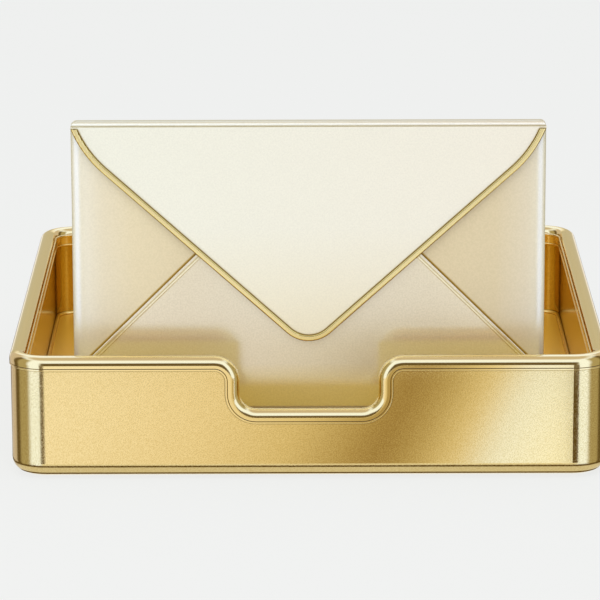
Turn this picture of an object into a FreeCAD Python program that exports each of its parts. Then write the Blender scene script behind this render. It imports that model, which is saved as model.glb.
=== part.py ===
import FreeCAD, Part
import os
import re
import Sketcher

# Gold letter tray with a finger notch in its front wall, and one sealed envelope standing in a slot.
# The tray is double skinned: a drawn outer shell, an inner liner, boards between them, and a rolled rim.
# Frame: x to the right, y to the back, z up; the origin is on the table under the middle of the tray.

os.makedirs("parts", exist_ok=True)
doc = FreeCAD.newDocument("letter_tray")

# Driving dimensions in millimetres, angles in degrees

DIMENSIONS = {
    # tray
    "tray_width": 289.0,
    "tray_depth": 284.0,
    "tray_height": 60.0,
    "corner_radius": 17.2,
    "bottom_radius": 7.0,
    "shell_gauge": 1.2,
    "liner_gauge": 0.8,
    "floor_height": 12.4,
    "floor_gauge": 1.2,
    "board_clearance": 0.2,
    # rolled rim
    "bead_width": 8.2,
    "bead_proud": 0.6,
    "outer_skirt": 2.7,
    "groove_drop": 1.4,
    "groove_width": 0.45,
    "groove_depth": 0.25,
    "inner_skirt": 5.5,
    "skirt_edge_radius": 0.3,
    # finger notch in the front wall
    "notch_width": 75.0,
    "notch_depth": 26.2,
    "notch_shoulder_radius": 7.9,
    "notch_foot_radius": 12.1,
    # feet and screws under the base
    "foot_height": 1.2,
    "foot_diameter": 18.0,
    "foot_inset": 24.0,
    "foot_edge": 0.4,
    "screw_diameter": 3.0,
    "screw_head_diameter": 6.0,
    "screw_head_height": 0.8,
    "screw_slot_width": 0.9,
    "screw_slot_depth": 0.5,
    "screw_clearance": 0.1,
    "base_screw_cover": 1.7,
    "base_screw_inset": 52.0,
    "channel_screw_inset": 26.5,
    # channel that holds the envelope upright
    "channel_gauge": 1.2,
    "channel_end_gap": 20.45,
    "channel_lip": 14.0,
    "channel_back": 34.0,
    "channel_clearance": 0.4,
    "channel_bend_radius": 0.6,
    "channel_back_corner": 12.0,
    "channel_lip_corner": 6.0,
    "slot_clearance": 0.3,
    # envelope
    "envelope_end_gap": 2.3,
    "envelope_height": 162.0,
    "envelope_thickness": 7.0,
    "envelope_drop": 5.7,
    "envelope_setback": 30.1,
    "paper": 1.0,
    "rest_clearance": 0.2,
    "layer_clearance": 0.1,
    "outline_radius": 3.5,
    "fold_radius": 2.2,
    "edge_run": 4.8,
    "edge_drop": 1.7,
    "panel_edge_radius": 0.6,
    # top flap
    "flap_reach": 108.4,
    "flap_tip_radius": 15.8,
    "flap_curve_radius": 56.5,
    "flap_end_inset": 0.2,
    "flap_end_angle": 21.6,
    "crease_width": 0.5,
    "crease_depth": 0.2,
    "trim_width": 3.2,
    "trim_rise": 1.1,
    "trim_round": 0.9,
    # bottom flap, with its pressed seam ridge, and the side flaps
    "shoulder_height": 42.8,
    "shoulder_inset": 5.5,
    "seam_angle": 44.65,
    "bottom_flap_height": 104.6,
    "seam_width": 2.6,
    "seam_rise": 0.5,
    "seam_round": 0.35,
    "bottom_fold_radius": 0.7,
    "side_flap_reach": 68.5,
    "side_flap_high": 105.6,
    "side_flap_low": 92.6,
    "side_flap_foot": 29.6,
    "side_strip": 6.5,
    # letter inside
    "letter_side_gap": 5.5,
    "letter_head_gap": 11.8,
    "letter_corner": 2.0,
    # one overrun for every cut
    "overrun": 1.0,
}

sheet = doc.addObject("Spreadsheet::Sheet", "Sheet")
for row, (name, number) in enumerate(DIMENSIONS.items(), start=1):
    sheet.set("A" + str(row), name)
    sheet.set("B" + str(row), str(number))
    sheet.setAlias("B" + str(row), name)
doc.recompute()

# Derived places, written in the driving dimensions

DERIVED = {
    "half_wide": "tray_width / 2",
    "half_deep": "tray_depth / 2",
    "wall": "(bead_width - 2 * bead_proud)",
    "bead_half": "(bead_width / 2)",
    "base_z": "foot_height",
    "rim_z": "(foot_height + tray_height)",
    "wall_top": "(rim_z - bead_half)",
    "board_z": "(base_z + shell_gauge)",
    "floor_z": "(base_z + floor_height)",
    "deck_z": "(floor_z - floor_gauge)",
    "shell_x": "(half_wide - bead_proud)",
    "shell_y": "(half_deep - bead_proud)",
    "core_x": "(shell_x - shell_gauge)",
    "core_y": "(shell_y - shell_gauge)",
    "core_radius": "(corner_radius - shell_gauge)",
    "liner_x": "(shell_x - wall + liner_gauge)",
    "liner_y": "(shell_y - wall + liner_gauge)",
    "liner_radius": "(corner_radius - wall + liner_gauge)",
    "inside_x": "(shell_x - wall)",
    "inside_y": "(shell_y - wall)",
    "inside_radius": "(corner_radius - wall)",
    "notch_half": "(notch_width / 2)",
    "notch_outer": "(notch_half + notch_shoulder_radius)",
    "notch_inner": "(notch_half - notch_foot_radius)",
    "notch_floor": "(wall_top - notch_depth)",
    "face_y": "(envelope_setback - half_deep)",
    "back_y": "(face_y + envelope_thickness)",
    "envelope_half": "(channel_half - envelope_end_gap)",
    "foot_z": "(floor_z - envelope_drop)",
    "top_z": "(foot_z + envelope_height)",
    "hinge_z": "(top_z - outline_radius)",
    "crease_z": "(top_z - fold_radius)",
    "bottom_layer": "(face_y + paper + layer_clearance + seam_rise)",
    "side_layer": "(bottom_layer + paper)",
    "panel_front": "(back_y - paper)",
    "tip_z": "(top_z - flap_reach)",
    "tip_centre": "(tip_z + flap_tip_radius)",
    "curve_centre_x": "(envelope_half - flap_end_inset - flap_curve_radius * cos(flap_end_angle))",
    "curve_centre_z": "(hinge_z + flap_curve_radius * sin(flap_end_angle))",
    "curve_rise": "(curve_centre_z - tip_centre)",
    "curve_reach": "sqrt(curve_centre_x ^ 2 + curve_rise ^ 2)",
    "curve_turn": "asin((flap_curve_radius - flap_tip_radius) / curve_reach)",
    "flap_angle": "(atan(curve_rise / curve_centre_x) - curve_turn)",
    "edge_radius": "((edge_run * edge_run + edge_drop * edge_drop) / (2 * edge_drop))",
    "shoulder_x": "(envelope_half - shoulder_inset)",
    "shoulder_z": "(foot_z + shoulder_height)",
    "flap_head_z": "(foot_z + bottom_flap_height)",
    "head_x": "(shoulder_x - (flap_head_z - shoulder_z) / tan(seam_angle))",
    "channel_y": "(back_y - envelope_thickness / 2)",
    "channel_inner": "(envelope_thickness / 2 + channel_clearance)",
    "channel_outer": "(channel_inner + channel_gauge)",
    "web_top": "(foot_z - rest_clearance)",
    "web_z": "(web_top - channel_gauge)",
    "channel_half": "(inside_x - channel_end_gap)",
    "channel_screw_x": "(channel_half - channel_screw_inset)",
    "base_screw_tip": "(deck_z - base_screw_cover)",
    "screw_radius": "(screw_diameter / 2)",
    "hole_radius": "(screw_radius + screw_clearance)",
}

WORD = re.compile(r"[a-z]\w*")

# How near to a plane an edge must lie to be picked, as a share of the overrun, and how near to parallel.
NEAR_SHARE = 0.0001


def spelled(text):
    """The expression with each derived place written out and each dimension named in the sheet."""
    def written(match):
        word = match.group()
        if word in DERIVED:
            return "(" + spelled(DERIVED[word]) + ")"
        if word in DIMENSIONS:
            return "Sheet." + word
        return word
    return WORD.sub(written, text)


def length(text):
    """The expression's value now, as a plain number."""
    found = sheet.evalExpression(spelled(text))
    return float(getattr(found, "Value", found))


def bind(item, place, text):
    """Ties a property to the sheet."""
    item.setExpression(place, spelled(text))


def place(item, x, y, z):
    bind(item, "Placement.Base.x", x)
    bind(item, "Placement.Base.y", y)
    bind(item, "Placement.Base.z", z)


# Sketches, pads and cuts

def new_body(name):
    body = doc.addObject("PartDesign::Body", name)
    body.Label = name
    return body


def new_sketch(body, role, offset="0"):
    """A sketch on one of the body's origin planes, moved along the plane's normal."""
    plane = next(item for item in body.Origin.OriginFeatures if item.Role == role)
    sketch = body.newObject("Sketcher::SketchObject", body.Name + "_sketch")
    sketch.AttachmentSupport = (plane, [""])
    sketch.MapMode = "FlatFace"
    bind(sketch, "AttachmentOffset.Base.z", offset)
    doc.recompute()
    return sketch


def draw(sketch, corners, closed=True):
    """Straight runs and arcs. A corner is (x, y), or (x, y, centre x, centre y, turn) before an arc."""
    first = sketch.GeometryCount
    count = len(corners)
    runs = count if closed else count - 1
    spots = [FreeCAD.Vector(length(corner[0]), length(corner[1]), 0) for corner in corners]
    ends = []
    for index in range(runs):
        corner = corners[index]
        start = spots[index]
        finish = spots[(index + 1) % count]
        if len(corner) == 2:
            sketch.addGeometry(Part.LineSegment(start, finish), False)
            ends.append((1, 2))
            continue
        centre = FreeCAD.Vector(length(corner[2]), length(corner[3]), 0)
        left_turn = corner[4] == "left"
        low, high = (start, finish) if left_turn else (finish, start)
        circle = Part.Circle(centre, FreeCAD.Vector(0, 0, 1), (start - centre).Length)
        sketch.addGeometry(Part.ArcOfCircle(circle, circle.parameter(low), circle.parameter(high)), False)
        ends.append((1, 2) if left_turn else (2, 1))
    for index in range(runs if closed else runs - 1):
        after = (index + 1) % runs
        sketch.addConstraint(Sketcher.Constraint(
            "Coincident", first + index, ends[index][1], first + after, ends[after][0]))
    for index, corner in enumerate(corners):
        here = min(index, runs - 1)
        end = ends[here][0] if index < runs else ends[here][1]
        tie(sketch, "DistanceX", (first + here, end), corner[0])
        tie(sketch, "DistanceY", (first + here, end), corner[1])
        if len(corner) > 2:
            reach = "sqrt((({0}) - ({2})) ^ 2 + (({1}) - ({3})) ^ 2)".format(*corner[:4])
            tie(sketch, "Radius", (first + here,), reach)


def tie(sketch, kind, where, text):
    """One dimension of a sketch, tied to the sheet."""
    number = sketch.addConstraint(Sketcher.Constraint(kind, *where, length(text)))
    bind(sketch, "Constraints[" + str(number) + "]", text)


def draw_circle(sketch, x, y, radius):
    """A circle whose centre and radius follow the sheet."""
    centre = FreeCAD.Vector(length(x), length(y), 0)
    number = sketch.addGeometry(Part.Circle(centre, FreeCAD.Vector(0, 0, 1), length(radius)), False)
    tie(sketch, "DistanceX", (number, 3), x)
    tie(sketch, "DistanceY", (number, 3), y)
    tie(sketch, "Radius", (number,), radius)


def rounded_rectangle(half_x, half_y, radius, middle_y="0"):
    """Corners of a rectangle with rounded corners, its middle on the y axis."""
    in_x = half_x + " - " + radius
    in_y = half_y + " - " + radius
    corners = []
    for side_x, side_y, x_first in ((1, -1, True), (1, 1, False), (-1, 1, True), (-1, -1, False)):
        sign_x = "" if side_x > 0 else "-"
        sign_y = "+" if side_y > 0 else "-"
        straight = (sign_x + "(" + in_x + ")", middle_y + sign_y + "(" + half_y + ")")
        turned = (sign_x + "(" + half_x + ")", middle_y + sign_y + "(" + in_y + ")")
        centre = (sign_x + "(" + in_x + ")", middle_y + sign_y + "(" + in_y + ")")
        start, finish = (straight, turned) if x_first else (turned, straight)
        corners.append(start + centre + ("left",))
        corners.append(finish)
    return corners


def rectangle(low_x, high_x, low_y, high_y):
    return [(low_x, low_y), (high_x, low_y), (high_x, high_y), (low_x, high_y)]


def turned_back(corners):
    """The same line, drawn from its last corner to its first."""
    result = []
    for index in range(len(corners) - 1, -1, -1):
        arc = corners[index - 1] if index and len(corners[index - 1]) > 2 else None
        spot = corners[index][:2]
        if arc:
            spot = spot + arc[2:4] + ("right" if arc[4] == "left" else "left",)
        result.append(spot)
    return result


def grow(body, sketch, size):
    """Pads along the sketch plane's normal."""
    pad = body.newObject("PartDesign::Pad", body.Name + "_pad")
    pad.Profile = sketch
    bind(pad, "Length", size)
    sketch.Visibility = False
    doc.recompute()
    return pad


def cut(body, sketch, size):
    """Cuts against the sketch plane's normal, and makes sure that something was cut."""
    before = body.Shape.Volume
    pocket = body.newObject("PartDesign::Pocket", body.Name + "_cut")
    pocket.Profile = sketch
    bind(pocket, "Length", size)
    doc.recompute()
    if not body.Shape.Volume < before:
        raise RuntimeError("nothing cut from " + body.Label)
    return pocket


def round_edges(body, chosen, radius):
    """Rounds the edges of the body's tip that the test picks."""
    base = body.Tip
    names = ["Edge" + str(index) for index, edge in enumerate(base.Shape.Edges, start=1) if chosen(edge)]
    if not names:
        raise RuntimeError("no edge to round on " + body.Label)
    feature = body.newObject("PartDesign::Fillet", body.Name + "_edges")
    feature.Base = (base, names)
    bind(feature, "Radius", radius)
    doc.recompute()
    if "Invalid" in feature.State:
        raise RuntimeError("edges not rounded on " + body.Label)
    return feature


def flat_at(axis, text):
    """Test for an edge that lies wholly in one plane across an axis."""
    place = length(text)
    near = length("overrun") * NEAR_SHARE
    return lambda edge: all(abs(getattr(spot, axis) - place) < near for spot in edge.discretize(5))


def both(*tests):
    return lambda edge: all(test(edge) for test in tests)


def runs_along(axis):
    """Test for a straight edge parallel to an axis."""
    unit = FreeCAD.Vector(*[float(name == axis) for name in "xyz"])

    def chosen(edge):
        straight = edge.Curve.TypeId == "Part::GeomLine"
        return straight and edge.Curve.Direction.cross(unit).Length < NEAR_SHARE
    return chosen


# Tray walls

def notch_corners():
    """The notch in the wall's upper edge, from the left shoulder to the right one and back above the wall."""
    above = "wall_top + overrun"
    shoulder_z = "wall_top - notch_shoulder_radius"
    foot_z = "notch_floor + notch_foot_radius"
    return [
        ("-notch_outer", above),
        ("-notch_outer", "wall_top", "-notch_outer", shoulder_z, "right"),
        ("-notch_half", shoulder_z),
        ("-notch_half", foot_z, "-notch_inner", foot_z, "left"),
        ("-notch_inner", "notch_floor"),
        ("notch_inner", "notch_floor", "notch_inner", foot_z, "left"),
        ("notch_half", foot_z),
        ("notch_half", shoulder_z, "notch_outer", shoulder_z, "right"),
        ("notch_outer", "wall_top"),
        ("notch_outer", above),
    ]


def cut_notch(body):
    sketch = new_sketch(body, "XZ_Plane", "half_deep")
    draw(sketch, notch_corners())
    cut(body, sketch, "bead_width + overrun")


def screw_spots():
    """Middles of the screws in the base: six for the board and four for the channel."""
    side = "(half_wide - base_screw_inset)"
    end = "(half_deep - base_screw_inset)"
    base = [(sign + side, row) for row in ("-" + end, "0", end) for sign in ("-", "")]
    channel_shares = (-1, -1 / 3, 1 / 3, 1)
    channel = [("channel_screw_x * " + str(share), "channel_y") for share in channel_shares]
    return base, channel


BASE_SPOTS, CHANNEL_SPOTS = screw_spots()


def drill(body, role_offset, depth, spots):
    sketch = new_sketch(body, "XY_Plane", role_offset)
    for x, y in spots:
        draw_circle(sketch, x, y, "hole_radius")
    cut(body, sketch, depth)


def make_outer_shell():
    """Drawn pan: base, rounded lower edge and four walls, open at the top."""
    body = new_body("outer_shell")
    sketch = new_sketch(body, "XY_Plane", "base_z")
    draw(sketch, rounded_rectangle("shell_x", "shell_y", "corner_radius"))
    grow(body, sketch, "wall_top - base_z")
    sketch = new_sketch(body, "XY_Plane", "wall_top")
    draw(sketch, rounded_rectangle("core_x", "core_y", "core_radius"))
    cut(body, sketch, "wall_top - board_z")
    round_edges(body, flat_at("z", "board_z"), "bottom_radius - shell_gauge")
    round_edges(body, flat_at("z", "base_z"), "bottom_radius")
    cut_notch(body)
    drill(body, "board_z", "shell_gauge + overrun", BASE_SPOTS + CHANNEL_SPOTS)
    return body


def make_inner_liner():
    """Inner skin of the four walls, standing on the floor panel."""
    body = new_body("inner_liner")
    sketch = new_sketch(body, "XY_Plane", "floor_z")
    draw(sketch, rounded_rectangle("liner_x", "liner_y", "liner_radius"))
    draw(sketch, rounded_rectangle("inside_x", "inside_y", "inside_radius"))
    grow(body, sketch, "wall_top - floor_z")
    cut_notch(body)
    return body


def make_base_board():
    """Board between the shell's base and the floor panel, grooved for the channel."""
    body = new_body("base_board")
    sketch = new_sketch(body, "XY_Plane", "board_z")
    size_x = "core_x - board_clearance"
    size_y = "core_y - board_clearance"
    draw(sketch, rounded_rectangle(size_x, size_y, "core_radius"))
    grow(body, sketch, "deck_z - board_z")
    round_edges(body, flat_at("z", "board_z"), "bottom_radius - shell_gauge")
    sketch = new_sketch(body, "XY_Plane", "deck_z")
    draw(sketch, groove_corners())
    cut(body, sketch, "deck_z - web_z")
    drill(body, "web_z", "web_z - board_z + overrun", CHANNEL_SPOTS)
    drill(body, "base_screw_tip + screw_clearance", "base_screw_tip + screw_clearance - board_z", BASE_SPOTS)
    return body


def groove_corners():
    """The groove for the channel, a little larger than the channel."""
    half_x = "(channel_half + slot_clearance)"
    half_y = "(channel_outer + slot_clearance)"
    return rectangle("-" + half_x, half_x, "channel_y - " + half_y, "channel_y + " + half_y)


def make_floor_panel():
    """Raised floor with the slot that the channel comes up through; the liner stands on its edge."""
    body = new_body("floor_panel")
    sketch = new_sketch(body, "XY_Plane", "deck_z")
    draw(sketch, rounded_rectangle("liner_x", "liner_y", "liner_radius"))
    draw(sketch, groove_corners())
    grow(body, sketch, "floor_gauge")
    return body


def make_core(name, along_x, sign):
    """Board between the two skins of one wall, as long as the wall's straight part."""
    body = new_body(name)
    if along_x:
        reach = "(shell_x - corner_radius)"
        outer, inner = "core_y", "liner_y"
    else:
        reach = "(shell_y - corner_radius)"
        outer, inner = "core_x", "liner_x"
    low, high = ("-" + outer, "-" + inner) if sign < 0 else (inner, outer)
    sketch = new_sketch(body, "XY_Plane", "deck_z")
    across = rectangle("-" + reach, reach, low, high)
    if not along_x:
        across = rectangle(low, high, "-" + reach, reach)
    draw(sketch, across)
    grow(body, sketch, "wall_top - deck_z")
    return body


def make_rim_trim():
    """Rolled rim: a round bead with a skirt on each side of the wall, all round and through the notch."""
    body = new_body("rim_trim")
    outer = "(-half_deep)"
    inner = "(-half_deep + bead_width)"
    outer_leg = "(-half_deep + bead_proud)"
    inner_leg = "(-half_deep + bead_width - bead_proud)"
    middle = "(-half_deep + bead_half)"
    section = new_sketch(body, "YZ_Plane", "notch_outer")
    soft = "skirt_edge_radius"
    outer_end = "(wall_top - outer_skirt)"
    inner_end = "(wall_top - inner_skirt)"
    draw(section, [
        (outer, "wall_top", middle, "wall_top", "right"),
        (middle, "rim_z", middle, "wall_top", "right"),
        (inner, "wall_top"),
        (inner, inner_end + " + " + soft, inner + " - " + soft, inner_end + " + " + soft, "right"),
        (inner + " - " + soft, inner_end),
        (inner_leg, inner_end),
        (inner_leg, "wall_top"),
        (outer_leg, "wall_top"),
        (outer_leg, outer_end),
        (outer + " + " + soft, outer_end, outer + " + " + soft, outer_end + " + " + soft, "right"),
        (outer, outer_end + " + " + soft),
        (outer, "wall_top - groove_drop - groove_width"),
        (outer + " + groove_depth", "wall_top - groove_drop - groove_width / 2"),
        (outer, "wall_top - groove_drop"),
    ])
    round_path = new_sketch(body, "XY_Plane", "wall_top")
    half_x = "(half_wide - bead_half)"
    half_y = "(half_deep - bead_half)"
    radius = "(corner_radius + bead_proud - bead_half)"
    corners = rounded_rectangle(half_x, half_y, radius)
    ends = [(mark + "notch_outer", "-" + half_y) for mark in ("", "-")]
    draw(round_path, ends[:1] + corners + ends[1:], closed=False)
    notch_path = new_sketch(body, "XZ_Plane", half_y)
    draw(notch_path, turned_back(notch_corners()[1:-1]), closed=False)
    for path in (round_path, notch_path):
        pipe = body.newObject("PartDesign::AdditivePipe", "rim_pipe")
        pipe.Profile = section
        pipe.Spine = (path, ["Edge" + str(index + 1) for index in range(path.GeometryCount)])
        doc.recompute()
    return body


# Channel, screws and feet

def make_letter_channel():
    """Folded channel that holds the envelope upright: a low lip in front and a taller plate behind."""
    body = new_body("letter_channel")
    front = "(channel_y - channel_outer)"
    front_in = "(channel_y - channel_inner)"
    back_in = "(channel_y + channel_inner)"
    back = "(channel_y + channel_outer)"
    bend = "channel_bend_radius"
    wide_bend = "(channel_bend_radius + channel_gauge)"
    lip_top = "(floor_z + channel_lip)"
    back_top = "(floor_z + channel_back)"
    low_bend = "(web_z + " + wide_bend + ")"
    high_bend = "(web_top + " + bend + ")"
    section = new_sketch(body, "YZ_Plane", "-channel_half")
    draw(section, [
        (front + " + " + wide_bend, "web_z"),
        (back + " - " + wide_bend, "web_z", back + " - " + wide_bend, low_bend, "left"),
        (back, low_bend),
        (back, back_top),
        (back_in, back_top),
        (back_in, high_bend, back_in + " - " + bend, high_bend, "right"),
        (back_in + " - " + bend, "web_top"),
        (front_in + " + " + bend, "web_top", front_in + " + " + bend, high_bend, "right"),
        (front_in, high_bend),
        (front_in, lip_top),
        (front, lip_top),
        (front, low_bend, front + " + " + wide_bend, low_bend, "left"),
    ])
    grow(body, section, "2 * channel_half")
    round_edges(body, both(runs_along("y"), flat_at("z", back_top)), "channel_back_corner")
    round_edges(body, both(runs_along("y"), flat_at("z", lip_top)), "channel_lip_corner")
    drill(body, "web_top", "channel_gauge + overrun", CHANNEL_SPOTS)
    return body


def make_screws(name, spots, tip_z):
    """Pan-head screws driven up through the base, one solid each, with a straight slot in each head."""
    screws = []
    for index, (x, y) in enumerate(spots):
        parts = []
        stages = (("head", "screw_head_diameter / 2", "base_z - screw_head_height", "screw_head_height"),
                  ("shank", "screw_radius", "base_z", "{} - base_z".format(tip_z)))
        for stage, radius, low, height in stages:
            cylinder = doc.addObject("Part::Cylinder", "{}_{}_{}".format(name, stage, index))
            bind(cylinder, "Radius", radius)
            bind(cylinder, "Height", height)
            place(cylinder, x, y, low)
            parts.append(cylinder)
        joined = doc.addObject("Part::Fuse", "{}_joined_{}".format(name, index))
        joined.Base, joined.Tool = parts
        slot = doc.addObject("Part::Box", "{}_slot_{}".format(name, index))
        bind(slot, "Length", "screw_head_diameter + 2 * overrun")
        bind(slot, "Width", "screw_slot_width")
        bind(slot, "Height", "screw_slot_depth + overrun")
        low = "base_z - screw_head_height - overrun"
        place(slot, x + " - screw_head_diameter / 2 - overrun", y + " - screw_slot_width / 2", low)
        screw = doc.addObject("Part::Cut", "{}_{}".format(name, index))
        screw.Base = joined
        screw.Tool = slot
        screws.append(screw)
    group = doc.addObject("Part::Compound", name)
    group.Links = screws
    group.Label = name
    return group


def make_foot(name, side, end):
    """Thin round pad under one corner of the base."""
    body = new_body(name)
    sketch = new_sketch(body, "XY_Plane")
    spot = (side + "(half_wide - foot_inset)", end + "(half_deep - foot_inset)")
    draw_circle(sketch, *spot, "foot_diameter / 2")
    grow(body, sketch, "foot_height")
    round_edges(body, flat_at("z", "0"), "foot_edge")
    return body


# Envelope. From the front its layers are the top flap, the bottom flap, the side flaps, the letter and the
# address panel, which is at the back.

def make_address_panel():
    """Back of the envelope, where an address would be; its lower corners are rounded."""
    body = new_body("address_panel")
    half = "envelope_half"
    inset = "(envelope_half - outline_radius)"
    low_z = "(foot_z + outline_radius)"
    top = "(hinge_z - layer_clearance)"
    sketch = new_sketch(body, "XZ_Plane", "-back_y")
    draw(sketch, [
        ("-" + inset, "foot_z"),
        (inset, "foot_z", inset, low_z, "left"),
        (half, low_z),
        (half, top),
        ("-" + half, top),
        ("-" + half, low_z, "-" + inset, low_z, "left"),
    ])
    grow(body, sketch, "paper")
    round_edges(body, flat_at("y", "back_y"), "panel_edge_radius")
    return body


def make_side_flap(name, sign):
    """Side flap with the envelope's rounded side edge, tapered towards the middle."""
    body = new_body(name)
    mark = "-" if sign < 0 else ""
    outward, inward = ("left", "right") if sign < 0 else ("right", "left")

    def x(text):
        return mark + "(" + text + ")"

    bend_x = x("envelope_half - edge_run")
    bend_y = "(side_layer + edge_radius)"
    inner_bend_y = "(" + bend_y + " - sqrt((edge_radius - paper) ^ 2 - (edge_run - paper) ^ 2))"
    low = "(foot_z + outline_radius)"
    top = "(hinge_z - layer_clearance)"
    sketch = new_sketch(body, "XY_Plane", low)
    draw(sketch, [
        (x("envelope_half"), "panel_front"),
        (x("envelope_half"), "side_layer + edge_drop", bend_x, bend_y, outward),
        (bend_x, "side_layer"),
        (x("envelope_half - side_flap_reach"), "side_layer"),
        (x("envelope_half - side_flap_reach"), "side_layer + paper"),
        (bend_x, "side_layer + paper", bend_x, bend_y, inward),
        (x("envelope_half - paper"), inner_bend_y),
        (x("envelope_half - paper"), "panel_front"),
    ])
    grow(body, sketch, top + " - " + low)
    strip = x("envelope_half - side_strip")
    tip = x("envelope_half - side_flap_reach")
    past = x("envelope_half - side_flap_reach - overrun")
    sketch = new_sketch(body, "XZ_Plane", "-(side_layer - overrun)")
    high_z = "(foot_z + side_flap_high)"
    above = top + " + overrun"
    draw(sketch, [(strip, above), (strip, top), (tip, high_z), (past, high_z), (past, above)])
    low_z = "(foot_z + side_flap_low)"
    draw(sketch, [
        (strip, low + " - overrun"), (strip, "foot_z + side_flap_foot"), (tip, low_z), (past, low_z),
        (past, low + " - overrun"),
    ])
    cut(body, sketch, "paper + 2 * overrun")
    return body


def make_bottom_flap():
    """Bottom flap with its fold, its two slanted seams, and a pressed ridge along each seam."""
    body = new_body("bottom_flap")
    sketch = new_sketch(body, "XZ_Plane", "-side_layer")
    draw(sketch, [
        ("-shoulder_x", "foot_z"), ("shoulder_x", "foot_z"), ("shoulder_x", "shoulder_z"),
        ("head_x", "flap_head_z"), ("-head_x", "flap_head_z"), ("-shoulder_x", "shoulder_z"),
    ])
    grow(body, sketch, "paper")
    sketch = new_sketch(body, "XY_Plane", "foot_z")
    draw(sketch, rectangle("-shoulder_x", "shoulder_x", "bottom_layer", "panel_front"))
    grow(body, sketch, "paper")
    round_edges(body, both(flat_at("z", "foot_z"), flat_at("y", "bottom_layer")), "bottom_fold_radius")
    sketch = new_sketch(body, "XZ_Plane", "-bottom_layer")
    for mark in ("", "-"):
        draw(sketch, [
            (mark + "shoulder_x", "shoulder_z"),
            (mark + "head_x", "flap_head_z"),
            (mark + "(head_x - seam_width / sin(seam_angle))", "flap_head_z"),
            (mark + "shoulder_x", "shoulder_z - seam_width / cos(seam_angle)"),
        ])
    grow(body, sketch, "seam_rise")
    round_edges(body, flat_at("y", "bottom_layer - seam_rise"), "seam_round")
    return body


def make_letter():
    """Folded letter that fills the envelope."""
    body = new_body("folded_letter")
    back = "(panel_front - layer_clearance)"
    front = "(side_layer + paper + layer_clearance)"
    low = "(foot_z + paper + rest_clearance)"
    high = "(top_z - paper - letter_head_gap)"
    half_x = "(envelope_half - paper - letter_side_gap)"
    half_z = "((" + high + " - " + low + ") / 2)"
    middle = "((" + high + " + " + low + ") / 2)"
    sketch = new_sketch(body, "XZ_Plane", "-" + back)
    draw(sketch, rounded_rectangle(half_x, half_z, "letter_corner", middle))
    grow(body, sketch, back + " - " + front)
    return body


def flap_line(shift, end_z):
    """The flap's lower edge from left to right, moved inwards by a shift and ended at a height."""
    curve = "(flap_curve_radius - " + shift + ")"
    tip = "(flap_tip_radius - " + shift + ")"
    end_x = "(curve_centre_x + sqrt(" + curve + " ^ 2 - (curve_centre_z - " + end_z + ") ^ 2))"
    join_x = "(curve_centre_x + " + curve + " * sin(flap_angle))"
    join_z = "(curve_centre_z - " + curve + " * cos(flap_angle))"
    tip_x = "(" + tip + " * sin(flap_angle))"
    tip_low = "(tip_centre - " + tip + " * cos(flap_angle))"
    return [
        ("-" + end_x, end_z, "-curve_centre_x", "curve_centre_z", "left"),
        ("-" + join_x, join_z),
        ("-" + tip_x, tip_low, "0", "tip_centre", "left"),
        (tip_x, tip_low),
        (join_x, join_z, "curve_centre_x", "curve_centre_z", "left"),
        (end_x, end_z),
    ]


def make_top_flap():
    """Top flap: hinged at the top of the address panel, it wraps over the letter and ends in a point."""
    body = new_body("top_flap")
    front_bend = "(face_y + fold_radius)"
    back_bend = "(back_y - fold_radius)"
    section = new_sketch(body, "YZ_Plane", "-envelope_half")
    draw(section, [
        ("face_y", "tip_z"),
        ("face_y", "crease_z", front_bend, "crease_z", "right"),
        (front_bend, "top_z"),
        (back_bend, "top_z", back_bend, "crease_z", "right"),
        ("back_y", "crease_z"),
        ("back_y", "hinge_z"),
        ("panel_front", "hinge_z"),
        ("panel_front", "crease_z", back_bend, "crease_z", "left"),
        (back_bend, "top_z - paper"),
        (front_bend, "top_z - paper", front_bend, "crease_z", "left"),
        ("face_y + paper", "crease_z"),
        ("face_y + paper", "tip_z"),
    ])
    grow(body, section, "2 * envelope_half")
    beyond = "(envelope_half + overrun)"
    sketch = new_sketch(body, "XZ_Plane", "-(face_y - overrun)")
    below = [("-" + beyond, "hinge_z")] + flap_line("0", "hinge_z")
    below += [(beyond, "hinge_z"), (beyond, "tip_z - overrun"), ("-" + beyond, "tip_z - overrun")]
    draw(sketch, below)
    cut(body, sketch, "envelope_thickness + 2 * overrun")
    sketch = new_sketch(body, "XZ_Plane", "-(face_y - overrun)")
    inset = "(envelope_half - outline_radius)"
    for mark, turn in (("", "right"), ("-", "left")):
        draw(sketch, [
            (mark + inset, "top_z", mark + inset, "hinge_z", turn),
            (mark + "envelope_half", "hinge_z"),
            (mark + beyond, "hinge_z"),
            (mark + beyond, "top_z + overrun"),
            (mark + inset, "top_z + overrun"),
        ])
    cut(body, sketch, "envelope_thickness + 2 * overrun")
    sketch = new_sketch(body, "XZ_Plane", "-(face_y - overrun)")
    low, high = "crease_z - crease_width / 2", "crease_z + crease_width / 2"
    draw(sketch, rectangle("-" + beyond, beyond, low, high))
    cut(body, sketch, "overrun + crease_depth")
    return body


def make_flap_trim():
    """Metal edging along the top flap's lower edge, with its front edges rounded."""
    body = new_body("flap_trim")
    sketch = new_sketch(body, "XZ_Plane", "-face_y")
    draw(sketch, flap_line("0", "hinge_z") + turned_back(flap_line("trim_width", "hinge_z")))
    grow(body, sketch, "trim_rise")
    at_end = flat_at("z", "hinge_z")
    round_edges(body, both(flat_at("y", "face_y - trim_rise"), lambda edge: not at_end(edge)), "trim_round")
    return body


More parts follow.
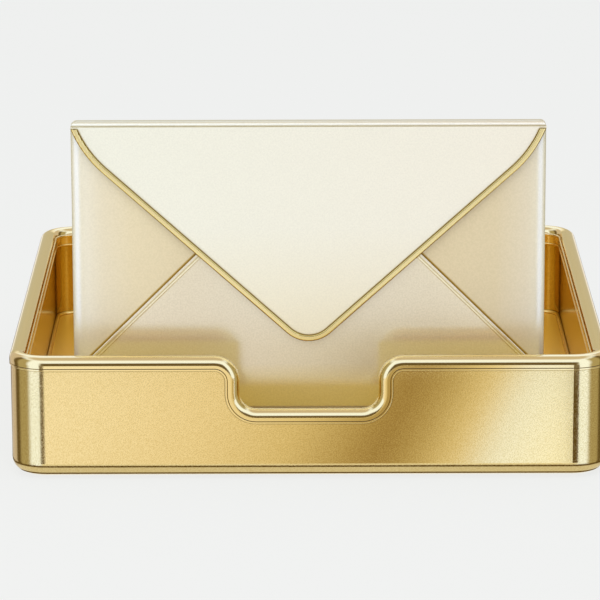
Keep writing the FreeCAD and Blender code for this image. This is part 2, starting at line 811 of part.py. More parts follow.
def make_all():
    front_core = make_core("front_core", True, -1)
    cut_notch(front_core)
    nodes = [
        make_outer_shell(), make_inner_liner(), make_rim_trim(), front_core,
        make_core("back_core", True, 1), make_core("left_core", False, -1), make_core("right_core", False, 1),
        make_base_board(), make_floor_panel(), make_letter_channel(),
        make_screws("base_screws", BASE_SPOTS, "base_screw_tip"),
        make_screws("channel_screws", CHANNEL_SPOTS, "web_top"),
    ]
    for end_name, end in (("front", "-"), ("back", "")):
        for side_name, side in (("left", "-"), ("right", "")):
            nodes.append(make_foot("foot_{}_{}".format(end_name, side_name), side, end))
    nodes += [
        make_address_panel(), make_side_flap("left_side_flap", -1), make_side_flap("right_side_flap", 1),
        make_bottom_flap(), make_letter(), make_top_flap(), make_flap_trim(),
    ]
    return nodes


def write_nodes(nodes):
    """Checks every object of the document and every node's shape, and then writes the nodes."""
    doc.recompute()
    failed = [item.Label for item in doc.Objects if {"Invalid", "Error"} & set(item.State)]
    failed += [item.Label for item in nodes if item.Shape.isNull() or not item.Shape.isValid()]
    if failed:
        raise RuntimeError("failed: " + ", ".join(failed))
    for item in nodes:
        item.Shape.exportStep(os.path.join("parts", item.Label + ".step"))
        print(item.Label, len(item.Shape.Solids), "solid", round(item.Shape.Volume, 1), "cubic mm")


write_nodes(make_all())
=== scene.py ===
import math

import bmesh
import bpy
from mathutils import Euler, Matrix, Vector


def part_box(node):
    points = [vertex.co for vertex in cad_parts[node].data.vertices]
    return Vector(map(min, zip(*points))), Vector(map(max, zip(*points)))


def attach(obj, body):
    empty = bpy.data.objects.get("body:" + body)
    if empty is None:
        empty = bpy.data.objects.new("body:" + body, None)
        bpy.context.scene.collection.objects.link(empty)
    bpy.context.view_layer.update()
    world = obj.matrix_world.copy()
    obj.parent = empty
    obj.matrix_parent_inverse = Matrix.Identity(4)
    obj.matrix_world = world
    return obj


# A gold letter tray with a rolled rim and a finger notch, and a sealed champagne envelope standing in it.
# Metres, in the tray's own frame: x to the right, y to the back, z up, the desk at z = 0.

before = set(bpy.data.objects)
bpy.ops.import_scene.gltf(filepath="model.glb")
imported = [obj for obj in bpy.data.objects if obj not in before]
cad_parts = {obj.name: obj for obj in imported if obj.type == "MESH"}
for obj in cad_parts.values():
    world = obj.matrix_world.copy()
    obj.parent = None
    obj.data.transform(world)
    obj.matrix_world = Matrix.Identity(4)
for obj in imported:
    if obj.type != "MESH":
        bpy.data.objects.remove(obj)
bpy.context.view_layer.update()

MM = 0.001

# Camera: a long lens, 14 degrees above the desk
LENS_MM = 244.0
CAMERA_PITCH = math.radians(14.0)
CAMERA_ROLL = math.radians(-0.15)
CAMERA_REACH = 1936.45 * MM
CAMERA_AIM = Vector((-4.23, -142.0, 89.47)) * MM

# Studio: the desk, the even light, and what the metal mirrors
FLOOR_SIZE = 14.0
FLOOR_HEX = "#F0F1F0"
SHADOW_SHARE = 0.10
WORLD_LIGHT = 0.78
SURROUND_STRENGTH = 2.0
SURROUND_PALE_HEX = "#B9B9BA"
SURROUND_WHITE_HEX = "#C2D2FF"
SURROUND_BROWN_HEX = "#4D422C"
SURROUND_OLIVE_HEX = "#847E69"
SURROUND_PINK_HEX = "#9B9597"
SURROUND_TAN_HEX = "#949082"
AIM = Vector((0.0, -138.0, 45.5)) * MM
LAMP_REACH, KEY_SIZE, KEY_POWER, FILL_SIZE, FILL_POWER = 2.2, 1.6, 17.0, 1.4, 7.0

# Cards: the low front silk with a flag at each end, a brown ring round the foot as painted contact shadow, and the
# gold silk in the gap
SILK_STRENGTH = 1.87
SILK_Y = -0.288
SILK_LEFT, SILK_RIGHT = -0.161, 0.140
FLAG_LEFT, FLAG_RIGHT = -0.181, 0.188
SILK_LOW, SILK_HIGH, SILK_SPAN = -0.056, 0.022, 300
SILK_SLANT, SILK_MIDDLE_Z = 0.446, -23.5 * MM
FLAG_HEX = "#66542A"
# The brown ring round the foot is painted contact shadow: a card on the desk seen only in reflections
SHADOW_RING_REACH, SHADOW_RING_Z, CORNER_RADIUS = 14.0 * MM, 0.2 * MM, 17.2 * MM
SHADOW_RING_SPAN = 40
GAP_SILK_Y, GAP_SILK_SIDE, GAP_SILK_NOTCH = -0.1262, 0.128, 0.034
GAP_SILK_LOW, GAP_SILK_HIGH, GAP_SILK_NOTCH_HIGH = 0.016, 0.0570, 0.0350
GAP_SILK_HEX = "#C4AB3A"

# Beads, from the tray's own sizes: the inner face of the walls, the inner skirt's edge, the floor and the
# notch along the skirt's edge. The rim's foot follows the notch one skirt's drop further out.
INSIDE_X, INSIDE_Y, INSIDE_RADIUS = 136.9 * MM, 134.4 * MM, 10.2 * MM
RIM_FOOT_Z, SKIRT_EDGE_Z, FLOOR_BEAD_Z, SKIRT_DROP = 57.3 * MM, 52.2 * MM, 14.0 * MM, 5.7 * MM
RIM_WIRE_IN, SKIRT_BEAD_IN, FLOOR_BEAD_IN = 0.4 * MM, 0.5 * MM, 0.7 * MM
RIM_WIRE_THICK, SKIRT_BEAD_THICK, FLOOR_BEAD_THICK = 0.75 * MM, 0.5 * MM, 1.1 * MM
NOTCH_SIDE, NOTCH_DROP = 43.0 * MM, 26.2 * MM
NOTCH_SHOULDER, NOTCH_FOOT = 2.4 * MM, 17.6 * MM
BEAD_STEPS = 12

# Gold
GOLD_HEX = "#F3DC9B"
# Painted shade for the brass's grooves, steps and joints
BRASS_CREVICE_SHADE_HEX = "#6E5620"
GRAIN_MM = 0.5

# Paper
LETTER_HEX = "#EAE7DC"
# Painted highlight along the pressed seams
SEAM_HIGHLIGHT_HEX = "#FCF3D4"
# Painted shade for the card's crevices
PAPER_CREVICE_SHADE_HEX = "#D8C88E"
PAPER_GRAIN_MM = 0.8
SHOULDER_X, SHOULDER_Z = 108.65 * MM, 50.7 * MM
SEAM_ANGLE = math.radians(44.65)
FACE_Y = -111.9 * MM
TRIM_RISE = 1.1 * MM
CREASE_Z = 167.7 * MM
# The last span sets the height of the painted gold reflection on the bottom flap's foot
CARD_SPAN, SEAM_SPAN, CREASE_SPAN, GOLD_GLOW_SPAN = 240, 20, 6, 0.1


# Tools

def linear(hex_colour):
    """A written sRGB colour as linear light."""
    shares = [int(hex_colour[place:place + 2], 16) / 255 for place in (1, 3, 5)]
    return tuple(c / 12.92 if c <= 0.04045 else ((c + 0.055) / 1.055) ** 2.4 for c in shares) + (1.0,)


def add_node(tree, kind, sockets=None, **settings):
    """Adds a node. A socket is given a value, or another node's output to link from."""
    node = tree.nodes.new(kind)
    for name, value in settings.items():
        setattr(node, name, value)
    for name, value in (sockets or {}).items():
        if isinstance(value, bpy.types.NodeSocket):
            tree.links.new(value, node.inputs[name])
        else:
            node.inputs[name].default_value = value
    return node


def new_material(name):
    """An empty material with its output, ready for nodes."""
    material = bpy.data.materials.new(name)
    material.use_nodes = True
    material.node_tree.nodes.clear()
    return material, material.node_tree


def finish_material(tree, surface):
    add_node(tree, "ShaderNodeOutputMaterial", {"Surface": surface})


def paint(names, material):
    """Gives CAD nodes or new pieces one material all over."""
    for name in names:
        data = bpy.data.objects[name].data
        data.materials.clear()
        data.materials.append(material)


# Camera and stage

def add_camera():
    data = bpy.data.cameras.new("camera")
    data.lens = LENS_MM
    camera = bpy.data.objects.new("camera", data)
    bpy.context.scene.collection.objects.link(camera)
    turn = Euler((math.pi / 2 - CAMERA_PITCH, 0, 0)).to_matrix() @ Matrix.Rotation(CAMERA_ROLL, 3, "Z")
    back = Vector((0, -math.cos(CAMERA_PITCH), math.sin(CAMERA_PITCH)))
    camera.location = CAMERA_AIM + back * CAMERA_REACH
    camera.rotation_euler = turn.to_euler()
    data.clip_end = FLOOR_SIZE * 2
    bpy.context.scene.camera = camera


def add_floor():
    bpy.ops.object.select_all(action="DESELECT")
    bpy.ops.mesh.primitive_plane_add(size=FLOOR_SIZE, location=(0, 0, 0))
    floor = bpy.context.object
    floor.name = "floor"
    material, tree = new_material("matt white studio floor")
    rays = add_node(tree, "ShaderNodeLightPath")
    matt = add_node(tree, "ShaderNodeBsdfDiffuse", {"Color": linear(FLOOR_HEX)})
    even = add_node(tree, "ShaderNodeEmission", {"Color": linear(FLOOR_HEX), "Strength": 1.0})
    straight = add_math(tree, "MAXIMUM", rays.outputs["Is Camera Ray"], add_math(
        tree, "MAXIMUM", rays.outputs["Is Glossy Ray"], rays.outputs["Is Transmission Ray"]))
    kept = add_math(tree, "MULTIPLY", straight, 1 - SHADOW_SHARE)
    mixed = add_node(tree, "ShaderNodeMixShader", {0: kept, 1: matt.outputs[0], 2: even.outputs[0]})
    finish_material(tree, mixed.outputs[0])
    floor.data.materials.append(material)
    floor.visible_glossy = False


def ramp(tree, share, stops):
    """A colour ramp over a share from 0 to 1, with a few chosen stops."""
    node = add_node(tree, "ShaderNodeValToRGB", {0: share})
    elements = node.color_ramp.elements
    while len(elements) < len(stops):
        elements.new(0.5)
    for element, (where, hex_colour) in zip(elements, stops):
        element.position = where
        element.color = linear(hex_colour)
    return node.outputs[0]


def add_math(tree, operation, first, second=0.0):
    return add_node(tree, "ShaderNodeMath", {0: first, 1: second}, operation=operation).outputs[0]


def surround(tree):
    """What the metal mirrors: the pale studio, with a brown strip of the room in front and at the sides."""
    place = add_node(tree, "ShaderNodeTexCoord")
    split = add_node(tree, "ShaderNodeSeparateXYZ", {0: place.outputs["Generated"]})
    sideways = add_math(tree, "ABSOLUTE", split.outputs["X"])
    forwards = add_math(tree, "MULTIPLY", split.outputs["Y"], -1.0)
    turn = add_math(tree, "DIVIDE", add_math(tree, "ARCTAN2", sideways, forwards), math.pi)
    rise = add_math(tree, "ADD", add_math(tree, "DIVIDE", add_math(
        tree, "ARCSINE", split.outputs["Z"]), math.pi), 0.5)
    pale, white, brown, olive, pink = (SURROUND_PALE_HEX, SURROUND_WHITE_HEX, SURROUND_BROWN_HEX,
                                       SURROUND_OLIVE_HEX, SURROUND_PINK_HEX)
    round_about = ramp(tree, turn, [(degrees / 180, colour) for degrees, colour in (
        (16, pale), (21, white), (50, white), (63, olive), (91, olive), (100, brown), (112, brown),
        (120, pink), (146, pink))])
    behind = ramp(tree, rise, [((degrees + 90) / 180, colour) for degrees, colour in (
        (-17, pale), (-15, brown), (-11, brown), (-8, pale), (-3, pale), (2, SURROUND_TAN_HEX),
        (16, SURROUND_TAN_HEX), (24, pale), (38, white), (60, white), (74, pink))])
    in_front = ramp(tree, rise, [((degrees + 90) / 180, colour) for degrees, colour in (
        (-11, pale), (-7, brown), (17, brown), (27, white), (52, white), (67, pink))])
    above = ramp(tree, rise, [((degrees + 90) / 180, colour) for degrees, colour in (
        (-40, pale), (52, white), (67, pink))])
    at_sides = ramp(tree, rise, [((degrees + 90) / 180, colour) for degrees, colour in (
        (-36, "#000000"), (-28, "#FFFFFF"), (42, "#FFFFFF"), (56, "#000000"))])
    sides = add_node(tree, "ShaderNodeMix", {"Factor": at_sides, "A": above, "B": round_about}, data_type="RGBA")
    front = ramp(tree, turn, [(16 / 180, "#FFFFFF"), (22 / 180, "#000000")])
    both = add_node(tree, "ShaderNodeMix", {"Factor": front, "A": sides.outputs["Result"], "B": in_front},
                    data_type="RGBA")
    back = ramp(tree, turn, [(150 / 180, "#000000"), (157 / 180, "#FFFFFF")])
    whole = add_node(tree, "ShaderNodeMix", {"Factor": back, "A": both.outputs["Result"], "B": behind},
                     data_type="RGBA")
    return add_node(tree, "ShaderNodeBackground", {"Color": whole.outputs["Result"], "Strength": SURROUND_STRENGTH})


def light_world():
    """Even light for paper, the pale studio for metal to mirror, and the floor's own colour behind it all."""
    world = bpy.data.worlds.new("studio")
    bpy.context.scene.world = world
    world.use_nodes = True
    tree = world.node_tree
    tree.nodes.clear()
    rays = add_node(tree, "ShaderNodeLightPath")
    even = add_node(tree, "ShaderNodeBackground", {"Color": (1, 1, 1, 1), "Strength": WORLD_LIGHT})
    seen = add_node(tree, "ShaderNodeBackground", {"Color": linear(FLOOR_HEX), "Strength": 1.0})
    metal = add_node(tree, "ShaderNodeMixShader", {0: rays.outputs["Is Glossy Ray"], 1: even.outputs[0],
                                                   2: surround(tree).outputs[0]})
    straight = add_math(tree, "MAXIMUM", rays.outputs["Is Camera Ray"], rays.outputs["Is Transmission Ray"])
    all_rays = add_node(tree, "ShaderNodeMixShader", {0: straight, 1: metal.outputs[0], 2: seen.outputs[0]})
    add_node(tree, "ShaderNodeOutputWorld", {"Surface": all_rays.outputs[0]})


def direction(azimuth, elevation):
    """From the tray outwards: azimuth 0 is the front, positive to the right."""
    turn, rise = math.radians(azimuth), math.radians(elevation)
    return Vector((math.sin(turn) * math.cos(rise), -math.cos(turn) * math.cos(rise), math.sin(rise)))


def add_lamp(name, azimuth, elevation, reach, size, power):
    """A soft square lamp aimed at the tray. It lights the paper; the surround is what the metal mirrors."""
    data = bpy.data.lights.new(name, "AREA")
    data.size = size
    data.energy = power
    lamp = bpy.data.objects.new(name, data)
    bpy.context.scene.collection.objects.link(lamp)
    away = direction(azimuth, elevation)
    lamp.location = AIM + away * reach
    lamp.rotation_euler = away.to_track_quat("Z", "Y").to_euler()
    lamp.visible_camera = False
    lamp.visible_glossy = False


def add_card(name, corners, material):
    """A flat card close to the tray that only mirrors in the metal and the pearl: a lit silk or a dark flag."""
    bpy.ops.object.select_all(action="DESELECT")
    low, high = Vector(corners[0]), Vector(corners[1])
    upright = low.y == high.y
    bpy.ops.mesh.primitive_plane_add(size=1.0, location=(low + high) / 2)
    card = bpy.context.object
    card.name = name
    card.scale = (high.x - low.x, high.z - low.z if upright else high.y - low.y, 1)
    card.rotation_euler = (math.pi / 2 if upright else 0, 0, 0)
    bpy.ops.object.transform_apply(location=True, rotation=True, scale=True)
    card.data.materials.append(material)
    card.visible_camera = False
    card.visible_diffuse = False
    card.visible_shadow = False
    card.visible_transmission = False


def silk_material():
    """The low silk that the flat front mirrors: pale, with one dimmer, slanting fold right of the middle."""
    material, tree = new_material("front silk")
    place = add_node(tree, "ShaderNodeTexCoord")
    split = add_node(tree, "ShaderNodeSeparateXYZ", {0: place.outputs["Object"]})
    slanted = add_math(tree, "SUBTRACT", split.outputs["X"], add_math(
        tree, "MULTIPLY", add_math(tree, "SUBTRACT", split.outputs["Z"], SILK_MIDDLE_Z), SILK_SLANT))
    share = add_math(tree, "ADD", add_math(tree, "DIVIDE", slanted, SILK_SPAN * MM), 0.5)
    stops = [(0.5 + x / SILK_SPAN, colour) for x, colour in (
        (-137, "#C9C9D1"), (-60, "#C0BBB6"), (-12, "#B2A994"), (22, "#938564"), (39, "#7F6D49"),
        (56, "#938665"), (80, "#B9B19C"), (100, "#C6D4FD"), (137, "#D2DBF1"))]
    glow = add_node(tree, "ShaderNodeEmission", {"Color": ramp(tree, share, stops), "Strength": SILK_STRENGTH})
    finish_material(tree, glow.outputs[0])
    return material


def flag_material():
    """A brown flag: the dark line down each front corner."""
    material, tree = new_material("brown flag")
    glow = add_node(tree, "ShaderNodeEmission", {"Color": linear(FLAG_HEX), "Strength": 1.0})
    finish_material(tree, glow.outputs[0])
    return material


def shadow_ring_material(half_x, half_y):
    """Painted contact shadow: a brown ring on the desk round the tray's foot, and a thin one just under the foot's
    edge, seen only in reflections.
    """
    material, tree = new_material("brown ring of painted contact shadow")
    place = add_node(tree, "ShaderNodeTexCoord")
    folded = add_node(tree, "ShaderNodeVectorMath", {0: place.outputs["Object"]}, operation="ABSOLUTE")
    past = add_node(tree, "ShaderNodeVectorMath", {
        0: folded.outputs[0], 1: (half_x - CORNER_RADIUS, half_y - CORNER_RADIUS, 0)}, operation="SUBTRACT")
    corner = add_node(tree, "ShaderNodeVectorMath", {0: past.outputs[0], 1: (0, 0, 0)}, operation="MAXIMUM")
    length = add_node(tree, "ShaderNodeVectorMath", {0: corner.outputs[0]}, operation="LENGTH")
    reach = add_math(tree, "SUBTRACT", length.outputs["Value"], CORNER_RADIUS)
    share = add_math(tree, "ADD", add_math(tree, "DIVIDE", reach, SHADOW_RING_SPAN * MM), 0.5)
    shown = ramp(tree, share, [(0.5 + mm / SHADOW_RING_SPAN, hex_colour) for mm, hex_colour in (
        (-5.0, "#000000"), (-4.8, "#FFFFFF"), (-2.7, "#FFFFFF"), (-2.4, "#8C8C8C"),
        (5.5, "#8C8C8C"), (6.0, "#FFFFFF"), (11.0, "#FFFFFF"), (12.0, "#000000"))])
    glow = add_node(tree, "ShaderNodeEmission", {"Color": linear(FLAG_HEX), "Strength": 1.0})
    clear = add_node(tree, "ShaderNodeBsdfTransparent")
    mixed = add_node(tree, "ShaderNodeMixShader", {0: shown, 1: clear.outputs[0], 2: glow.outputs[0]})
    finish_material(tree, mixed.outputs[0])
    return material


def gap_material():
    """Gold light from the inside of the front wall; it faces the envelope only."""
    material, tree = new_material("gold gap silk")
    side = add_node(tree, "ShaderNodeNewGeometry")
    glow = add_node(tree, "ShaderNodeEmission", {"Color": linear(GAP_SILK_HEX), "Strength": 1.0})
    clear = add_node(tree, "ShaderNodeBsdfTransparent")
    mixed = add_node(tree, "ShaderNodeMixShader", {0: side.outputs["Backfacing"], 1: clear.outputs[0],
                                                   2: glow.outputs[0]})
    finish_material(tree, mixed.outputs[0])
    return material


def add_cards():
    add_card("silk_front", ((SILK_LEFT, SILK_Y, SILK_LOW), (SILK_RIGHT, SILK_Y, SILK_HIGH)), silk_material())
    flag = flag_material()
    add_card("flag_left", ((FLAG_LEFT, SILK_Y, SILK_LOW), (SILK_LEFT, SILK_Y, SILK_HIGH)), flag)
    add_card("flag_right", ((SILK_RIGHT, SILK_Y, SILK_LOW), (FLAG_RIGHT, SILK_Y, SILK_HIGH)), flag)
    half_x, half_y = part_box("outer_shell")[1][:2]
    far_x, far_y = half_x + SHADOW_RING_REACH, half_y + SHADOW_RING_REACH
    add_card("contact_shadow_ring", ((-far_x, -far_y, SHADOW_RING_Z), (far_x, far_y, SHADOW_RING_Z)),
             shadow_ring_material(half_x, half_y))
    gold = gap_material()
    for name, start, end, top in (
            ("gap_silk_left", -GAP_SILK_SIDE, -GAP_SILK_NOTCH, GAP_SILK_HIGH),
            ("gap_silk_middle", -GAP_SILK_NOTCH, GAP_SILK_NOTCH, GAP_SILK_NOTCH_HIGH),
            ("gap_silk_right", GAP_SILK_NOTCH, GAP_SILK_SIDE, GAP_SILK_HIGH)):
        add_card(name, ((start, GAP_SILK_Y, GAP_SILK_LOW), (end, GAP_SILK_Y, top)), gold)


# Brass beads inside the tray

def only_selected(edges=None, verts=None):
    """Selects just these edges or corners of the mesh that is being edited."""
    mesh = bmesh.from_edit_mesh(bpy.context.object.data)
    for part in (*mesh.verts, *mesh.edges, *mesh.faces):
        part.select_set(False)
    for edge in mesh.edges:
        if edges and all(edges(vert.co) for vert in edge.verts):
            edge.select_set(True)
    for vert in mesh.verts:
        if verts and verts(vert.co):
            vert.select_set(True)
    mesh.select_flush_mode()
    bmesh.update_edit_mesh(bpy.context.object.data)


def round_corners(where, radius):
    only_selected(verts=where)
    bpy.ops.mesh.bevel(offset=radius, segments=BEAD_STEPS, affect="VERTICES")


def add_bead(name, inset, height, thickness, notch=None):
    """A round wire bead along the inside of the walls; with a notch it dips through the front wall's notch."""
    half, radius = (INSIDE_X - inset, INSIDE_Y - inset), INSIDE_RADIUS - inset
    bpy.ops.object.select_all(action="DESELECT")
    bpy.ops.mesh.primitive_plane_add(size=2.0, location=(0, 0, height))
    bead = bpy.context.object
    bead.name = name
    bead.scale = (half[0], half[1], 1)
    bpy.ops.object.transform_apply(location=True, rotation=True, scale=True)
    bpy.ops.object.mode_set(mode="EDIT")
    bpy.ops.mesh.select_mode(type="VERT")
    bpy.ops.mesh.select_all(action="SELECT")
    bpy.ops.mesh.delete(type="ONLY_FACE")
    if notch:
        side, drop, shoulder, foot = notch
        for place in (-side, side):
            bpy.ops.mesh.select_all(action="SELECT")
            bpy.ops.mesh.bisect(plane_co=(place, 0, 0), plane_no=(1, 0, 0))

        def in_notch(co):
            return co.y < 0 and abs(co.x) < side + MM

        bpy.ops.mesh.select_mode(type="EDGE")
        only_selected(edges=in_notch)
        bpy.ops.mesh.extrude_region_move(TRANSFORM_OT_translate={"value": (0, 0, -drop)})
        bpy.ops.mesh.select_all(action="SELECT")
        bpy.ops.mesh.delete(type="ONLY_FACE")
        only_selected(edges=lambda co: in_notch(co) and co.z > height - MM)
        bpy.ops.mesh.delete(type="EDGE")
        bpy.ops.mesh.select_mode(type="VERT")
        round_corners(lambda co: in_notch(co) and co.z > height - MM, shoulder)
        round_corners(lambda co: in_notch(co) and co.z < height - drop + MM, foot)
    round_corners(lambda co: abs(co.x) > half[0] - MM, radius)
    bpy.ops.object.mode_set(mode="OBJECT")
    bpy.ops.object.convert(target="CURVE")
    bead.data.bevel_depth = thickness
    bead.data.bevel_resolution = 3
    bpy.ops.object.convert(target="MESH")
    bpy.ops.object.shade_smooth()
    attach(bead, "tray")
    return bead


# Finishes

def grain(tree, size_mm):
    """Fine noise in real millimetres, on the piece's own place."""
    place = add_node(tree, "ShaderNodeTexCoord")
    return add_node(tree, "ShaderNodeTexNoise", {
        "Vector": place.outputs["Object"], "Scale": 1 / (size_mm * MM), "Detail": 2.0})


def tinted(tree, first, second, factor=1.0):
    return add_node(tree, "ShaderNodeMix", {"Factor": factor, "A": first, "B": second},
                    data_type="RGBA", blend_type="MULTIPLY").outputs["Result"]


def painted_crevice_shade(tree, reach_mm, shade_hex):
    """Painted shade in a groove, a step or a joint: an occlusion mask darkens the colour where the surface is closed
    in.
    """
    shut = add_node(tree, "ShaderNodeAmbientOcclusion", {"Distance": reach_mm * MM}, samples=12)
    return ramp(tree, shut.outputs["AO"], [(0.5, shade_hex), (0.9, "#FFFFFF")])


def brass(name, roughness, spread, bump_mm, shade=None, gold_hex=GOLD_HEX, speckle_hex="#FFFFFF", reach_mm=1.2,
          metallic=1.0):
    """Lacquered brass with a fine sandy grain: a soft mirror that sparkles a little. The lacquer is even, so
    roughness only changes with the grain, and joints are darkened with painted shade from an occlusion mask."""
    material, tree = new_material(name)
    noise = grain(tree, GRAIN_MM)
    rough = add_node(tree, "ShaderNodeMapRange", {
        "Value": noise.outputs["Fac"], "From Min": 0.3, "From Max": 0.7,
        "To Min": roughness - spread, "To Max": roughness + spread})
    bump = add_node(tree, "ShaderNodeBump", {
        "Height": noise.outputs["Fac"], "Strength": 1.0, "Distance": bump_mm * MM})
    gold = shade(tree) if shade else linear(gold_hex)
    speckle = ramp(tree, noise.outputs["Fac"], [(0.35, speckle_hex), (0.60, "#FFFFFF")])
    # Painted shade darkens the joints, over the gold and its grain
    colour = tinted(tree, tinted(tree, gold, speckle), painted_crevice_shade(tree, reach_mm, BRASS_CREVICE_SHADE_HEX))
    shader = add_node(tree, "ShaderNodeBsdfPrincipled", {
        "Base Color": colour, "Metallic": metallic, "Roughness": rough.outputs[0], "Normal": bump.outputs[0]})
    finish_material(tree, shader.outputs[0])
    return material


def edging_painted_shade(tree):
    """Painted shade: the edging's gold is darkened down its rounded sides by height above the flap, and is palest on
    its crown.
    """
    place = add_node(tree, "ShaderNodeTexCoord")
    split = add_node(tree, "ShaderNodeSeparateXYZ", {0: place.outputs["Object"]})
    rise = add_math(tree, "DIVIDE", add_math(tree, "SUBTRACT", FACE_Y, split.outputs["Y"]), TRIM_RISE)
    return ramp(tree, rise, [(0.60, "#8A6C22"), (0.84, "#B89A48"), (0.96, "#F0D684"), (1.0, "#F8E6A8")])


def seam_reach(tree, split):
    """Millimetres from the bottom flap's slanted edge, inwards."""
    across = add_math(tree, "MULTIPLY", add_math(tree, "SUBTRACT", SHOULDER_X, add_math(
        tree, "ABSOLUTE", split.outputs["X"])), math.sin(SEAM_ANGLE) / MM)
    down = add_math(tree, "MULTIPLY", add_math(tree, "SUBTRACT", split.outputs["Z"], SHOULDER_Z),
                    math.cos(SEAM_ANGLE) / MM)
    return add_math(tree, "SUBTRACT", across, down)


def pearl_card(name, metallic, roughness, colours, painted_seam_light=False, crease=False, foot=False, grain_share=1.0):
    """Pearl-coated card: mica flakes over matt fibres, so it is half mirror, half paper, with a sandy grain.
    The colours given across can carry painted shade and painted highlights, and a pressed seam gets a painted
    highlight and painted shade."""
    material, tree = new_material(name)
    place = add_node(tree, "ShaderNodeTexCoord")
    split = add_node(tree, "ShaderNodeSeparateXYZ", {0: place.outputs["Object"]})
    share = add_math(tree, "ADD", add_math(tree, "DIVIDE", split.outputs["X"], CARD_SPAN * MM), 0.5)
    colour = ramp(tree, share, [(0.5 + x / CARD_SPAN, hex_colour) for x, hex_colour in colours])
    if painted_seam_light:
        # Painted shade in the valley outside the bottom flap's slanted edge and in a thin line on its ridge, and a
        # painted highlight along the ridge's inner side that fades into the flap
        reach = add_math(tree, "ADD", add_math(tree, "DIVIDE", seam_reach(tree, split), SEAM_SPAN), 0.5)
        dark = ramp(tree, reach, [(0.5 + mm / SEAM_SPAN, hex_colour) for mm, hex_colour in (
            (-1.2, "#FFFFFF"), (-0.5, "#DCCA80"), (-0.1, "#D6C274"), (0.1, "#FFFFFF"), (1.0, "#FFFFFF"),
            (1.3, "#E2D9B6"), (1.5, "#E2D9B6"), (1.8, "#FFFFFF"))])
        pale = ramp(tree, reach, [(0.5 + mm / SEAM_SPAN, hex_colour) for mm, hex_colour in (
            (-0.1, "#000000"), (0.1, "#8C8C8C"), (0.9, "#8C8C8C"), (1.5, "#8C8C8C"), (1.8, "#FFFFFF"),
            (2.5, "#FFFFFF"), (2.9, "#6A6A6A"), (7.0, "#000000"))])
        colour = add_node(tree, "ShaderNodeMix", {
            "Factor": pale, "A": tinted(tree, colour, dark), "B": linear(SEAM_HIGHLIGHT_HEX)},
            data_type="RGBA").outputs["Result"]
        colour = tinted(tree, colour, dark, 0.6)
    if foot:
        # Painted reflection: a warm gold tint on the bottom flap's lowest part, fading out by 50 mm above the desk,
        # stands in for gold light from the tray
        height = add_math(tree, "DIVIDE", split.outputs["Z"], GOLD_GLOW_SPAN)
        colour = tinted(tree, colour, ramp(tree, height, [(0.38, "#FFF6D0"), (0.50, "#FFFFFF")]))
    if crease:
        # Painted shade: a darker line along the fold's crease and a darker band up to the fold's top edge; the card
        # is also warmer towards the flap's tip
        height = add_math(tree, "DIVIDE", add_math(tree, "SUBTRACT", split.outputs["Z"], CREASE_Z), CREASE_SPAN * MM)
        line = ramp(tree, add_math(tree, "ADD", height, 0.5), [(
            0.5 + mm / CREASE_SPAN, hex_colour) for mm, hex_colour in (
            (-0.6, "#FFFFFF"), (-0.25, "#E6E1D4"), (0.25, "#E6E1D4"), (0.6, "#F4F1E8"), (1.5, "#EFEBE0"),
            (2.1, "#DAD4C2"))])
        colour = tinted(tree, colour, line)
        drop = add_math(tree, "DIVIDE", split.outputs["Z"], CREASE_Z)
        colour = tinted(tree, colour, ramp(tree, drop, [(0.36, "#FFF9EC"), (0.70, "#FFFFFF")]))
    noise = grain(tree, PAPER_GRAIN_MM)
    speckle = ramp(tree, noise.outputs["Fac"], [(0.35, "#F2F2F2"), (0.65, "#FFFFFF")])
    # Painted shade in the card's crevices, over its grain
    colour = tinted(tree, tinted(tree, colour, speckle, grain_share), painted_crevice_shade(tree, 1.2, PAPER_CREVICE_SHADE_HEX))
    bump = add_node(tree, "ShaderNodeBump", {
        "Height": noise.outputs["Fac"], "Strength": 1.0, "Distance": 0.02 * grain_share * MM})
    shader = add_node(tree, "ShaderNodeBsdfPrincipled", {
        "Base Color": colour, "Metallic": metallic, "Roughness": roughness, "Normal": bump.outputs[0]})
    finish_material(tree, shader.outputs[0])
    return material


def plain_material(name, hex_colour, roughness):
    """A dull, even surface that only scatters light."""
    material, tree = new_material(name)
    shader = add_node(tree, "ShaderNodeBsdfPrincipled", {
        "Base Color": linear(hex_colour), "Roughness": roughness})
    finish_material(tree, shader.outputs[0])
    return material


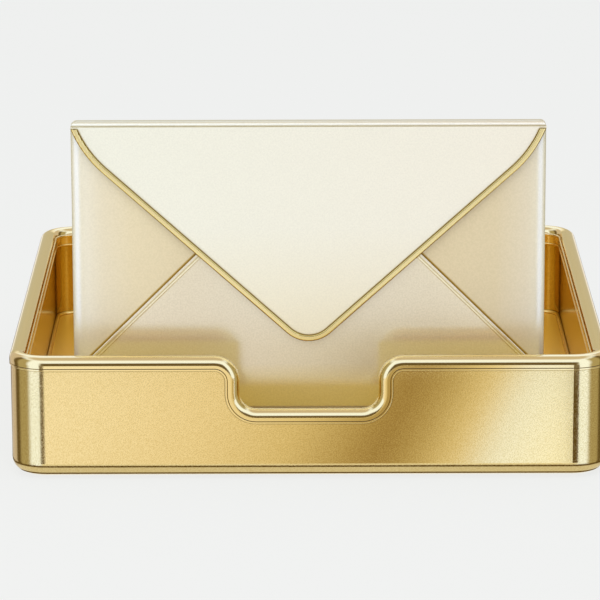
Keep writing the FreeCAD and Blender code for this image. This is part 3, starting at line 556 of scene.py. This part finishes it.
def dress():
    """Each piece gets its real finish."""
    # Buffed and lacquered: a clear mirror, a little softened
    polished = brass("polished lacquered brass", 0.12, 0.01, 0.001, reach_mm=0.9)
    paint(["rim_trim", "base_screws", "channel_screws"], polished)
    # Drawn wire is duller than the buffed rim, so it stays bright from every side
    paint(["rim_wire"], brass("bright brass wire", 0.22, 0.01, 0.001, gold_hex="#F8DF9E", reach_mm=0.3))
    paint(["skirt_bead", "floor_bead"], brass(
        "satin brass wire", 0.28, 0.01, 0.001, gold_hex="#FFDC84", reach_mm=0.2))
    # The edging's flanks get painted shade and its crown is painted palest
    paint(["flap_trim"], brass("polished brass edging", 0.18, 0.01, 0.001, edging_painted_shade, reach_mm=0.5))
    # Bead-blasted under lacquer: a soft mirror with a fine sandy sparkle
    paint(["outer_shell"], brass("fine-grained satin brass", 0.14, 0.03, 0.014, speckle_hex="#E9E3D2"))
    # The inside is the same brass with a deeper colour: painted shade and painted reflection of the gold it mirrors
    paint(["inner_liner", "letter_channel"], brass(
        "satin brass with painted inner shade", 0.14, 0.03, 0.02, gold_hex="#D8B95A", speckle_hex="#E0D4B8", reach_mm=0.35))
    # Sanded and half matt: a broad, warm glow and no clear mirror image
    paint(["floor_panel"], brass(
        "sanded satin brass", 0.34, 0.05, 0.02, gold_hex="#FFCC4C", speckle_hex="#F4EACB", reach_mm=0.35,
        metallic=0.55))
    # Bare pressed fibre: matt and brown
    paint(["front_core", "back_core", "left_core", "right_core", "base_board"],
          plain_material("raw fibreboard", "#8A6F52", 0.9))
    # Dense felt: matt and almost black
    paint(["foot_front_left", "foot_front_right", "foot_back_left", "foot_back_right"],
          plain_material("pressed felt", "#35322F", 0.95))
    # Pearl-coated card: satin, half mirror and half paper, with a painted highlight near the ends, a painted dark
    # outline at the very edge and painted shade in the middle
    champagne = [(-114, "#BDB69C"), (-113.4, "#EEE8D0"), (-107, "#F3ECD6"), (-99, "#EFE4C7"), (-85, "#EEE0BC"),
                 (-50, "#E6D6B0"), (0, "#E1D0A8"), (50, "#E6D5AE"), (90, "#E5D5B0"), (105, "#E8DCC0"),
                 (113.4, "#EEE8D0"), (114, "#BDB69C")]
    paint(["address_panel"], pearl_card("champagne pearl card", 0.15, 0.30, champagne, grain_share=0.6))
    paint(["left_side_flap", "right_side_flap"],
          pearl_card("champagne pearl card, side flap", 0.35, 0.26, champagne, painted_seam_light=True, grain_share=0.6))
    # The same card where the pressed bottom flap has more shine, with a painted highlight at the ends and painted
    # shade in the middle
    creamy = [(-110, "#F6EBD1"), (-60, "#EFE4CA"), (0, "#EBE2CC"), (60, "#EFE4CA"), (110, "#F6EACF")]
    paint(["bottom_flap"], pearl_card("champagne pearl card, bottom flap", 0.6, 0.18, creamy, painted_seam_light=True, foot=True))
    # Ivory card with a light pearl coat: a soft sheen over a warm white
    ivory = [(-110, "#FBFAE9"), (0, "#FBF8E7"), (110, "#FCF6E4")]
    paint(["top_flap"], pearl_card("ivory pearl card", 0.42, 0.30, ivory, crease=True, grain_share=0.5))
    # Uncoated writing paper: matt
    paint(["folded_letter"], plain_material("letter paper", LETTER_HEX, 0.8))


add_camera()
add_floor()
light_world()
add_lamp("key", 0, 50, LAMP_REACH, KEY_SIZE, KEY_POWER)
add_lamp("fill", -60, 25, LAMP_REACH, FILL_SIZE, FILL_POWER)
add_cards()
add_bead("rim_wire", RIM_WIRE_IN, RIM_FOOT_Z, RIM_WIRE_THICK, (
    NOTCH_SIDE - SKIRT_DROP, NOTCH_DROP, NOTCH_SHOULDER + SKIRT_DROP, NOTCH_FOOT - SKIRT_DROP))
add_bead("skirt_bead", SKIRT_BEAD_IN, SKIRT_EDGE_Z, SKIRT_BEAD_THICK, (
    NOTCH_SIDE, NOTCH_DROP, NOTCH_SHOULDER, NOTCH_FOOT))
add_bead("floor_bead", FLOOR_BEAD_IN, FLOOR_BEAD_Z, FLOOR_BEAD_THICK)
dress()

scene = bpy.context.scene
scene.view_settings.view_transform = "Standard"
